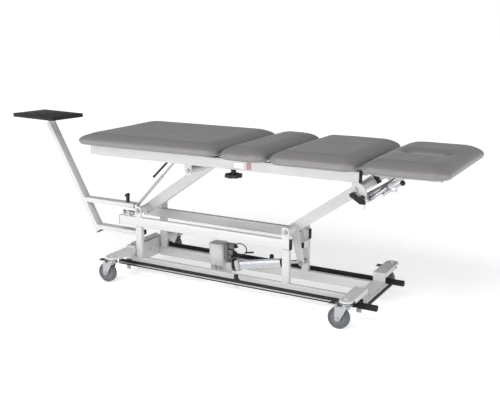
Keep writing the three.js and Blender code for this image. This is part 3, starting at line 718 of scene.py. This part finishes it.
for nm, px in (("drive", 258), ("idler", -613)):
    bm = bmesh.new()
    m = arm_frame(px, 348)
    e, t = (0.4916, 0.0026) if nm == "drive" else (0.5046, 0.005)
    add_box(bm, (e, -0.0256, -0.0256), (e + t, 0.0256, 0.0256), 0.0012 if nm == "drive" else 0.002, 3, m)
    add_box(bm, (e - 0.0126, -0.0226, -0.0226), (e - 0.0004, 0.0226, 0.0226), 0.0006, 1, m)
    add_box(bm, (-0.0265, -0.0256, -0.0256), (-0.0222, 0.0256, 0.0256), 0.002, 3, m)
    put("arm_plugs_" + nm, bm, RUBBER, nm + "_arm")
bm = bmesh.new()
for s in (-1, 1):
    add_lathe(bm, [(0, 0), (0.0125, 0), (0.0125, 0.0012), (0.0085, 0.0016), (0.0085, 0.0050), (0.0075, 0.0058), (0, 0.0058)], P(300, s * 32.2, 176), (0, s, 0), 28)
put("crank_bolts", bm, ZINC, "drive_arm")
bm = bmesh.new()
for s in (-1, 1):
    add_box(bm, P(300.6, min(s * 27.1, s * 29.4), 251.6), P(314.2, max(s * 27.1, s * 29.4), 280.4), 0.0009, 2)
put("tie_plugs", bm, RUBBER, "drive_arm")
bm = bmesh.new()
rod(bm, P(300, -31.5, 176), P(300, 31.5, 176), 0.0056, 16)
put("crank_pin", bm, ZINC, "drive_arm")

# washers and split pins over the pivot rods' ends
for nm, x, z, y, body in (("foot_lower", -613, 348, 124, "base"), ("head_lower", 258, 348, 124, "base"), ("foot_upper", 258 - 871 + 383.69, 616.66, 217, "top"), ("head_upper", 258 + 383.69, 616.66, 217, "top")):
    bm = bmesh.new()
    for s in (-1, 1):
        p = P(x, s * (y + 0.15), z)
        add_lathe(bm, [(0.0083, 0), (0.0150, 0), (0.0150, 0.0004), (0.0083, 0.0004), (0.0083, 0)], p, (0, s, 0), 30)
        q = P(x, s * (y + 7.7), z)
        add_lathe(bm, [(0, -0.0006), (0.0068, -0.0006), (0.0068, 0.0002), (0.0058, 0.0018), (0.0030, 0.0021), (0.0028, 0.0006), (0, 0.0006)], q, (0, s, 0), 24)
    put("pivot_washers_" + nm, bm, STEEL, body)

# painted shade: dark strips under the seams between the cushions, standing in for the shade in the gaps
bm = bmesh.new()
add_box(bm, P(-46, -215, 697.3), P(44, 215, 699.5), 0.0004, 1)
add_box(bm, P(207, -215, 697.3), P(294, 215, 699.5), 0.0004, 1)
put("seam_shade_strips", bm, DUST_COVER_AND_SEAM_SHADE, "top")

# blank data plates on the near top rail
bm = bmesh.new()
add_box(bm, P(33, -217.7, 657), P(83, -217.05, 681), 0.0003, 1)
put("blank_plate", bm, LABEL, "top")
bm = bmesh.new()
add_box(bm, P(99, -217.6, 654), P(125, -217.05, 692), 0.0003, 1)
lab = Mat("muted_label")
lab.set(Base_Color=lab.ramp(lab.noise(70, 3), [(0.3, (0.36, 0.20, 0.20)), (0.7, (0.44, 0.26, 0.26))]), Roughness=lab.mapr(lab.noise(60, 2), 0.3, 0.7, 0.3, 0.42))
lab.bump((lab.noise(900, 2), 0.1, 0.0002))
put("plain_badge", bm, lab.m, "top")

# caster swivel raceways, hub caps, axle nuts, pedal ribs
for nm, sx, sy in (("foot_near", -1, -1), ("foot_far", -1, 1), ("head_near", 1, -1), ("head_far", 1, 1)):
    cx, cy = sx * 650, sy * 304
    bm = bmesh.new()
    add_lathe(bm, [(0.0222, 0.0), (0.0262, 0.0006), (0.0270, 0.003), (0.0262, 0.0056), (0.0222, 0.0064), (0.0222, 0.0)], P(cx, cy, 110.5), (0, 0, 1), 36)
    for s in (-1, 1):
        hexbolt(bm, P(cx - 33, cy + s * 23.1, 50.8), (0, s, 0), 0.0128, 0.0055, 0.0086)
    put("caster_hardware_" + nm, bm, ZINC, "caster_" + nm)
    bm = bmesh.new()
    for s in (-1, 1):
        add_lathe(bm, [(0.0175, 0.0), (0.0215, 0.0), (0.0225, 0.0009), (0.034, 0.0016), (0.036, 0.0006), (0.036, 0.0001), (0.0175, 0.0)], P(cx - 33, cy + s * 7.2, 50.8), (0, s, 0), 40)
    put("hub_rings_" + nm, bm, GEAR, "wheel_" + nm)
    bm = bmesh.new()
    for k in range(5):
        x = cx - 56 - k * 5
        add_box(bm, P(x - 1.0, cy - 13, 115.2), P(x + 1.0, cy + 13, 116.9), 0.0005, 2)
    put("pedal_ribs_" + nm, bm, RUBBER, "pedal_" + nm)

# activation bars: bright steel strip painting the highlight between the two dark edges, grip sleeves, hanging brackets
for side, s in (("near", -1), ("far", 1)):
    y = s * 190
    bm = bmesh.new()
    yo = y + s * 8.0
    # painted highlight: a bright strip stands in for the sheen along the bar's face
    add_box(bm, P(-690, min(yo, yo + s * 0.9), 72.5), P(642, max(yo, yo + s * 0.9), 79.0), 0.0003, 1)
    put("bar_highlight_strip_" + side, bm, STEEL, "activation_frame")
    bm = bmesh.new()
    add_lathe(bm, [(0.0133, 0), (0.0150, 0.0006), (0.0152, 0.004)] + [(0.0152 - 0.0007 * (k % 2), 0.006 + 0.005 * k) for k in range(16)] + [(0.0152, 0.088), (0.0140, 0.0925), (0.0100, 0.0935), (0, 0.0935)][:4] + [(0.0133, 0.0905)][:0] + [(0, 0.0935)], P(661, y, 78), (1, 0, 0), 28)
    ob = put("grip_" + side, bm, RUBBER, "activation_frame")
    bm = bmesh.new()
    for x in (-633, 25, 668):
        add_box(bm, P(x - 15, y - 11, 91.8), P(x + 15, y + 11, 95.0), 0.0008, 2)
    add_lathe(bm, [(0, 0), (0.0105, 0), (0.0115, 0.001), (0.0115, 0.020), (0.0095, 0.022), (0, 0.022)], P(25, y, 94.8), (0, 0, 1), 22)
    put("bar_brackets_" + side, bm, BLACKP, "activation_frame")

# actuator: dark collar, end screws, connectors and screws on the motor
th = math.atan2(100, 485)
act = Matrix.Translation(P(-185, 0, 76)) @ Matrix(((math.cos(th), 0, -math.sin(th), 0), (0, 1, 0, 0), (math.sin(th), 0, math.cos(th), 0), (0, 0, 0, 1)))


def A3(x, y, z):
    return act @ Vector((x / 1000, y / 1000, z / 1000))


axd = Vector((math.cos(th), 0, math.sin(th)))
bm = bmesh.new()
add_lathe(bm, [(0.0242, 0), (0.0330, 0.0005), (0.0345, 0.003), (0.0330, 0.0145), (0.0300, 0.0165), (0.0242, 0.017), (0.0242, 0)], A3(94, 0, 0), axd, 36)
put("gear_collar", bm, BLACKP, "actuator")
bm = bmesh.new()
for dy in (-1, 1):
    for dz in (-1, 1):
        screw(bm, A3(131.9, dy * 24, dz * 24), axd, 0.0042, 0.003)
        screw(bm, A3(372.2, dy * 14.5, dz * 14.5), axd, 0.003, 0.002)
put("tube_screws", bm, STEEL, "actuator")
bm = bmesh.new()
add_box(bm, (0.372, -0.0193, -0.0193), (0.3765, 0.0193, 0.0193), 0.0022, 3, act)
for dy in (-1,):
    pass
put("tube_end_cap", bm, BLACKP, "actuator")
bm = bmesh.new()
for dz in (-12.5, -4.2, 4.2, 12.5):
    for s in (-1, 1):
        add_box(bm, (0.134, min(s * 0.0190, s * 0.0199), dz / 1000 - 0.0016), (0.370, max(s * 0.0190, s * 0.0199), dz / 1000 + 0.0016), 0.0003, 1, act)
put("tube_ribs", bm, ALLOY, "actuator")
# motor face: connector blocks, screws
bm = bmesh.new()
add_box(bm, P(-133.6, -42, 130), P(-112, -2, 214), 0.0040, 3)
add_box(bm, P(-112.6, -32, 190), P(-80, -3, 214), 0.0022, 3)
add_box(bm, P(-112.6, -36, 160), P(-86, -10, 184), 0.0022, 3)
add_box(bm, P(-112.6, -34, 134), P(-96, -12, 154), 0.0018, 3)
put("motor_connectors", bm, GEAR, "actuator")
bm = bmesh.new()
add_lathe(bm, [(0, 0), (0.0095, 0), (0.0100, 0.001), (0.0100, 0.007), (0.0070, 0.010), (0.0046, 0.018), (0, 0.018)], P(-80.2, -19, 202), (1, 0, 0), 22)
add_lathe(bm, [(0, 0), (0.0090, 0), (0.0095, 0.001), (0.0095, 0.006), (0.0062, 0.009), (0.0050, 0.020), (0, 0.020)], P(-86.2, -23, 172), (1, 0, 0), 22)
add_lathe(bm, [(0, 0), (0.0072, 0), (0.0076, 0.001), (0.0076, 0.007), (0, 0.007)], P(-96.2, -23, 144), (1, 0, 0), 22)
put("motor_sockets", bm, BLACKP, "actuator")
bm = bmesh.new()
for z in (118, 202):
    for y in (-50, 6):
        screw(bm, P(-216.9, y, z), (-1, 0, 0), 0.0032, 0.0016)
put("motor_screws", bm, STEEL, "actuator")

# limit rod eye bolts and lever bracket
bm = bmesh.new()
hexbolt(bm, P(-628, -97.6, 374.5), (0, 1, 0), 0.011, 0.004, 0.008)
put("limit_pivot_nut", bm, ZINC, "limit_tube")
bm = bmesh.new()
add_box(bm, P(-373, -176, 690), P(-339, -140, 698.6), 0.0008, 2)
for y in (-171, -147.6):
    add_box(bm, P(-369, y - 1.6, 656), P(-345, y + 1.6, 691), 0.0008, 2)
hexbolt(bm, P(-357, -172.8, 668), (0, -1, 0), 0.010, 0.004, 0.008)
hexbolt(bm, P(-357, -145.8, 668), (0, 1, 0), 0.010, 0.004, 0.008)
put("lever_bracket", bm, STEEL, "leg_section")

# head end: second strut tube, lever block and ball knob
bm = bmesh.new()
rod(bm, P(762, -197, 604), P(838, -197, 658), 0.0062, 20)
rod(bm, P(759.5, -197, 602.2), P(767, -197, 607.6), 0.0073, 20)
add_box(bm, P(799, -203.5, 621), P(821, -190.5, 643), 0.0014, 3)
put("head_lever_tube", bm, ZINC, "head_section")
bm = bmesh.new()
add_lathe(bm, [(0, 0), (0.0060, 0.0006), (0.0104, 0.0040), (0.0122, 0.0095), (0.0115, 0.0150), (0.0080, 0.0195), (0.0045, 0.0208), (0, 0.021)], P(837, -197, 657), Vector((76, 0, 54)), 28)
put("head_lever_knob", bm, BLACKP, "head_section")

# coiled ridges on the gas spring's sleeve, and end collars
ga, gb = P(673, -108, 556), P(800, -108, 668)
gd = (gb - ga).normalized()
gx = gd.orthogonal().normalized()
gy = gd.cross(gx)
bm = bmesh.new()
turns, t0, t1 = 9, 0.076, 0.146
sweep(bm, [ga + gd * (t0 + (t1 - t0) * k / (turns * 14)) + (gx * math.cos(2 * math.pi * k / 14) + gy * math.sin(2 * math.pi * k / 14)) * 0.0098 for k in range(turns * 14 + 1)], 0.0012, 8)
put("gas_spring_ridges", bm, STEEL, "gas_spring_outer")
la, lb = P(688, -172, 566), P(832, -172, 679)
ld = (lb - la).normalized()
bm = bmesh.new()
add_lathe(bm, [(0.0092, 0), (0.0116, 0.0004), (0.0120, 0.002), (0.0120, 0.010), (0.0112, 0.0122), (0.0092, 0.0126), (0.0092, 0)], la + ld * 0.0945, ld, 28)
add_lathe(bm, [(0.0092, 0), (0.0108, 0.0004), (0.0112, 0.002), (0.0108, 0.005), (0.0092, 0.0054), (0.0092, 0)], la + ld * 0.020, ld, 28)
put("lock_collars", bm, STEEL, "lock_strut")

# ------------------------------------------------------------------ floor, light
bm = bmesh.new()
bmesh.ops.create_grid(bm, x_segments=2, y_segments=2, size=40)
floor = new_obj("floor", bm, [], smooth=False)
fm = Mat("floor_pale")
fm.set(Base_Color=fm.ramp(fm.noise(0.6, 2), [(0.3, (0.93, 0.93, 0.93)), (0.7, (0.95, 0.95, 0.95))]), Roughness=0.7, Specular_IOR_Level=0.2)
fm.set(Emission_Color=(1.0, 1.0, 1.0), Emission_Strength=0.46)
fc = fm.n("ShaderNodeTexCoord")
fd = fm.n("ShaderNodeVectorMath", operation="LENGTH")
fm.link(fc.outputs["Object"], fd.inputs[0])
fm.set(Emission_Strength=fm.mapr(fd.outputs["Value"], 1.2, 5.0, 0.50, 0.80))
floor.data.materials.append(fm.m)
floor.location = (0, 0, -0.0006)

world = bpy.data.worlds.new("studio")
scene.world = world
world.use_nodes = True
wt = world.node_tree
bg = wt.nodes["Background"]
wc = wt.nodes.new("ShaderNodeTexCoord")
ws = wt.nodes.new("ShaderNodeSeparateXYZ")
wt.links.new(wc.outputs["Generated"], ws.inputs[0])
wr = wt.nodes.new("ShaderNodeMapRange")
for k, v in (("From Min", 0.04), ("From Max", 0.24), ("To Min", 1.0), ("To Max", 0.27)):
    wr.inputs[k].default_value = v
wt.links.new(ws.outputs["Z"], wr.inputs["Value"])
wt.links.new(wr.outputs["Result"], bg.inputs[1])
bg.inputs[0].default_value = (1.0, 1.0, 1.0, 1)


def area(name, loc, target, size, size_y, power, color=(1, 1, 1)):
    d = bpy.data.lights.new(name, "AREA")
    d.shape = "RECTANGLE"
    d.size, d.size_y, d.energy, d.color = size, size_y, power, color
    ob = bpy.data.objects.new(name, d)
    COL.objects.link(ob)
    ob.location = loc
    ob.rotation_euler = (Vector(target) - Vector(loc)).to_track_quat("-Z", "Y").to_euler()
    return ob


area("key", (-1.1, -3.8, 0.7), (0.0, 0, 0.55), 3.4, 1.1, 49)
area("front_high", (-0.4, -2.7, 3.5), (0.05, 0, 0.7), 4.2, 1.6, 100)
area("fill", (3.4, -1.2, 1.5), (0.6, 0, 0.65), 2.0, 1.2, 34)

scene.view_settings.view_transform = "Standard"
scene.view_settings.look = "None"
scene.view_settings.exposure = 0.0
scene.render.film_transparent = False
